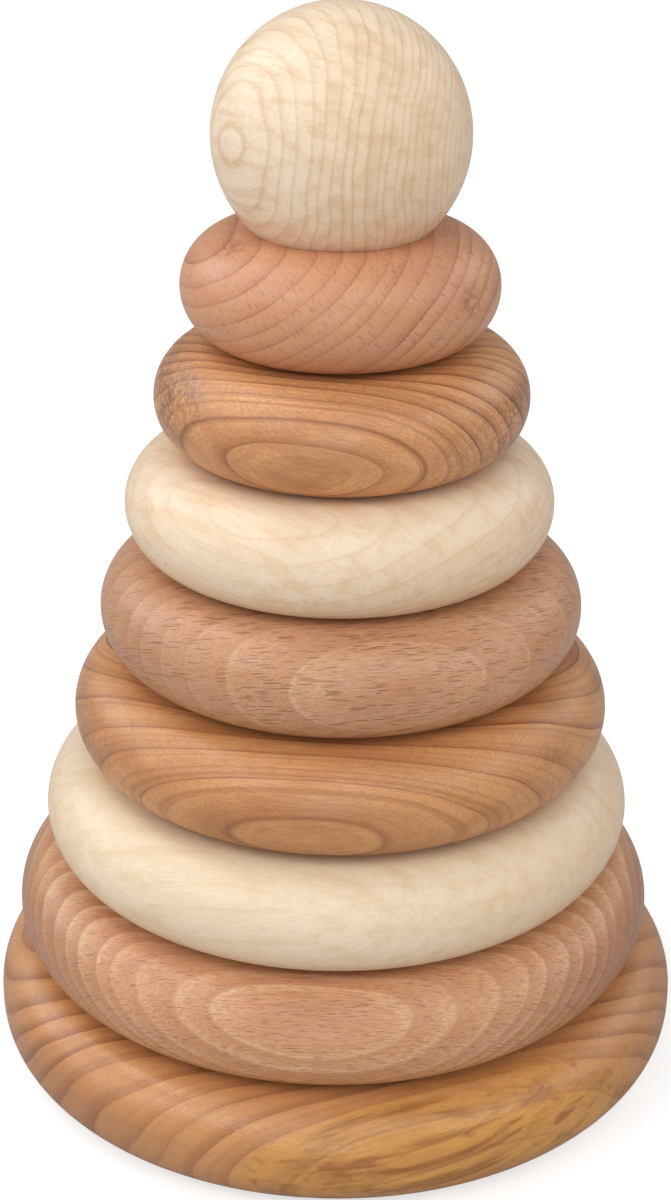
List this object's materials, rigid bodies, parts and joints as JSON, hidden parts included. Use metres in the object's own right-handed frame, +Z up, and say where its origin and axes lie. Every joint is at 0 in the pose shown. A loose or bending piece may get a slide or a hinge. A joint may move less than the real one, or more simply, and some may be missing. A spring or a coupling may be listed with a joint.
{
  "type": "stacking tower toy",
  "caption": "Turned wooden stacking tower: round-edged rings of growing diameter lift off a peg in a flat base, capped by a ball.",
  "frame": {"origin": "centre of the base's underside, on the surface that the tower stands on", "axes": "+Z up along the peg's centre line, towards the ball; +X to the viewer's right, +Y away from the viewer"},
  "size_m": [0.131, 0.131, 0.1983],
  "materials": {
    "maple": "satin, pale cream, oiled and waxed",
    "cherry": "satin, golden brown, oiled and waxed",
    "beech": "satin, pinkish brown with short flecks, oiled and waxed",
    "alder": "satin, salmon pink, oiled and waxed",
    "plum": "satin, orange brown with a golden heart, oiled and waxed",
    "dowel": "planed and sanded dowel, unfinished"
  },
  "bodies": {
    "base_and_peg": {"base": "plum", "peg": "dowel"},
    "ring_7": {"ring_7": "beech"},
    "ring_6": {"ring_6": "maple"},
    "ring_5": {"ring_5": "cherry"},
    "ring_4": {"ring_4": "beech"},
    "ring_3": {"ring_3": "maple"},
    "ring_2": {"ring_2": "cherry"},
    "ring_1": {"ring_1": "alder"},
    "ball": {"ball": "maple"}
  },
  "joints": [
    {"name": "ring_7_lift", "type": "slide", "parent": "base_and_peg", "child": "ring_7", "axis": [0, 0, 1], "range_m": [0, 0.17]},
    {"name": "ring_6_lift", "type": "slide", "parent": "ring_7", "child": "ring_6", "axis": [0, 0, 1], "range_m": [0, 0.15]},
    {"name": "ring_5_lift", "type": "slide", "parent": "ring_6", "child": "ring_5", "axis": [0, 0, 1], "range_m": [0, 0.13]},
    {"name": "ring_4_lift", "type": "slide", "parent": "ring_5", "child": "ring_4", "axis": [0, 0, 1], "range_m": [0, 0.11]},
    {"name": "ring_3_lift", "type": "slide", "parent": "ring_4", "child": "ring_3", "axis": [0, 0, 1], "range_m": [0, 0.09]},
    {"name": "ring_2_lift", "type": "slide", "parent": "ring_3", "child": "ring_2", "axis": [0, 0, 1], "range_m": [0, 0.07]},
    {"name": "ring_1_lift", "type": "slide", "parent": "ring_2", "child": "ring_1", "axis": [0, 0, 1], "range_m": [0, 0.05]},
    {"name": "ball_lift", "type": "slide", "parent": "ring_1", "child": "ball", "axis": [0, 0, 1], "range_m": [0, 0.03]}
  ]
}
